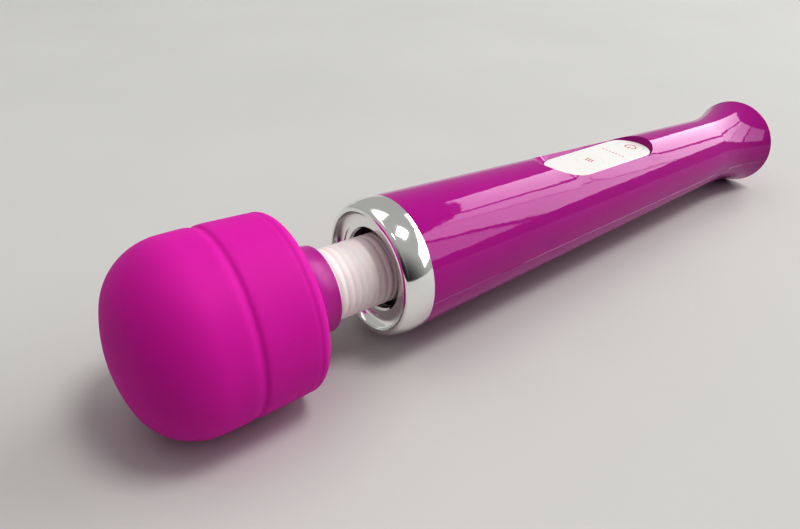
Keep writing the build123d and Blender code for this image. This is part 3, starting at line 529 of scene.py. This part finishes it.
def mode_mark():
    """Three short waves side by side."""
    low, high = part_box("mode_button")
    centre = (low + high) / 2
    for index in (-1, 0, 1):
        wave = []
        for step in range(WAVE_STEPS + 1):
            share = step / WAVE_STEPS - 0.5
            aside = index * WAVE_GAP + WAVE_SWAY * sin(2 * pi * share)
            wave.append((centre.x + WAVE_LENGTH * share, centre.y + aside))
        printed_stroke(f"mode_mark_wave_{index + 2}", wave, WAVE_WIDTH, high.z, "mode_key")


def level_dots():
    """A plain row of dots across the panel, between the two keys."""
    panel_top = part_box("control_panel")[1].z
    keys = [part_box("mode_button"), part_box("power_button")]
    middle = sum((low.x + high.x) / 2 for low, high in keys) / 2 + DOT_ROW_SHIFT
    for index in range(DOT_COUNT):
        place = (index - DOT_COUNT // 2) * DOT_GAP
        dot = []
        for step in range(DOT_STEPS + 1):
            dot.append((middle, place - DOT_REACH + 2 * DOT_REACH * step / DOT_STEPS))
        printed_stroke(f"panel_dot_{index + 1}", dot, DOT_WIDTH, panel_top, "handle")


# ---------------------------------------------------------------- stage, lights and camera

TABLE_TILT = radians(1.92)  # the wand rests on its head and on the tail's flare
TABLE_TOUCH = (at(26.0), 0, 0)
TABLE_SIZE = 8.0
TABLE_SEGMENTS = 40


def table():
    """A pale table, turned so that it meets both the head and the flared tail."""
    shape = bmesh.new()
    bmesh.ops.create_grid(shape, x_segments=TABLE_SEGMENTS, y_segments=TABLE_SEGMENTS, size=TABLE_SIZE)
    mesh = bpy.data.meshes.new("table")
    shape.to_mesh(mesh)
    shape.free()
    floor = bpy.data.objects.new("table", mesh)
    scene.collection.objects.link(floor)
    floor.location = TABLE_TOUCH
    floor.rotation_euler = Euler((0, -TABLE_TILT, 0))
    mesh.materials.append(
        surface(
            "table_mat", (0.58, 0.58, 0.565), 0.8, mottle=0.02, mottle_scale=6,
            layers=[(1500, 0.01 * mm, EVEN)], Specular_IOR_Level=0.15,
        )
    )


def softbox(name, place, aim, size, radiance, colour=(1, 1, 1)):
    """A rectangular light of the given (width, height) whose face has that radiance."""
    lamp = bpy.data.lights.new(name, "AREA")
    lamp.shape = "RECTANGLE"
    lamp.size, lamp.size_y = size
    lamp.energy = radiance * pi * size[0] * size[1]
    lamp.color = colour
    light = bpy.data.objects.new(name, lamp)
    scene.collection.objects.link(light)
    light.location = place
    light.rotation_euler = (Vector(aim) - Vector(place)).to_track_quat("-Z", "Y").to_euler()


WINDOW_WALL = 3.2  # x of the wall with the windows, beyond the tail
WINDOW_SILL, WINDOW_TOP = 1.11, 3.58
# Each window: its two azimuths in degrees as seen from the wand, and its radiance.
WINDOWS = ((-8.5, 22, 3.1), (-23.5, -11.5, 2.9), (-38.5, -24, 2.5), (-58, -40.5, 1.5))
WARM = (1, 0.99, 0.97)
KEY_PLACE, KEY_SIZE, KEY_RADIANCE = (1.0, -1.15, 4.0), (1.2, 1.2), 11.4
CEILING_PLACE, CEILING_SIZE, CEILING_RADIANCE = (-0.6, 1.6, 3.4), (3.2, 1.8), 0.55
DARK_SIDE = Vector((-0.55, -0.83, -0.30)).normalized()
DARK_FROM, DARK_TO = 0.2, 0.85  # how squarely a direction faces the dark side
ROOM_COLOUR = (1.0, 0.995, 0.98, 1)
ROOM_LIGHT, ROOM_DARK = 0.345, 0.03


def room_light():
    """A grey room, light on the far side of the wand and dark behind the viewer."""
    world = bpy.data.worlds.new("room")
    scene.world = world
    world.use_nodes = True
    nodes, links = world.node_tree.nodes, world.node_tree.links
    background = nodes["Background"]
    background.inputs["Color"].default_value = ROOM_COLOUR
    place = nodes.new("ShaderNodeTexCoord")
    facing = nodes.new("ShaderNodeVectorMath")
    facing.operation = "DOT_PRODUCT"
    facing.inputs[1].default_value = DARK_SIDE
    ramp = nodes.new("ShaderNodeMapRange")
    ramp.interpolation_type = "SMOOTHSTEP"
    ramp.inputs["From Min"].default_value = DARK_FROM
    ramp.inputs["From Max"].default_value = DARK_TO
    ramp.inputs["To Min"].default_value = ROOM_LIGHT
    ramp.inputs["To Max"].default_value = ROOM_DARK
    links.new(place.outputs["Generated"], facing.inputs[0])
    links.new(facing.outputs["Value"], ramp.inputs["Value"])
    links.new(ramp.outputs["Result"], background.inputs["Strength"])


def lights():
    """A compact key high on the viewer's side, a broad ceiling light past the wand, and the windows."""
    softbox("key", KEY_PLACE, (0, 0, 0), KEY_SIZE, KEY_RADIANCE, WARM)
    softbox("ceiling", CEILING_PLACE, (0, 0, 0), CEILING_SIZE, CEILING_RADIANCE, WARM)
    for index, (left, right, radiance) in enumerate(WINDOWS):
        y_left, y_right = WINDOW_WALL * tan(radians(left)), WINDOW_WALL * tan(radians(right))
        place = (WINDOW_WALL, (y_left + y_right) / 2, (WINDOW_SILL + WINDOW_TOP) / 2)
        size = (y_right - y_left, WINDOW_TOP - WINDOW_SILL)
        softbox(f"window_{index + 1}", place, (0, place[1], place[2]), size, radiance)


CAMERA_PLACE = (-0.1887, -0.1634, 0.1564)
CAMERA_AIM = (-0.0100, 0.0640, -0.0017)
CAMERA_ROLL = radians(2.51)
CAMERA_LENS = 30.92
CAMERA_SHIFT = -0.0444
CAMERA_NEAR = 0.01
SENSOR_WIDTH = 36.0


def camera():
    """The camera at the photograph's viewing angle."""
    lens = bpy.data.cameras.new("camera")
    lens.lens = CAMERA_LENS
    lens.sensor_width = SENSOR_WIDTH
    lens.shift_y = CAMERA_SHIFT
    lens.clip_start = CAMERA_NEAR
    view = bpy.data.objects.new("camera", lens)
    scene.collection.objects.link(view)
    look = (Vector(CAMERA_AIM) - Vector(CAMERA_PLACE)).to_track_quat("-Z", "Y").to_matrix()
    turn = look @ Matrix.Rotation(CAMERA_ROLL, 3, "Z")
    view.matrix_world = Matrix.Translation(CAMERA_PLACE) @ turn.to_4x4()
    scene.camera = view


finish_nodes()
head_cover()
neck_sleeve()
neck_spring()
flexible_shaft()
power_mark()
mode_mark()
level_dots()
table()
room_light()
lights()
camera()
scene.view_settings.view_transform = "Standard"
scene.view_settings.look = "High Contrast"
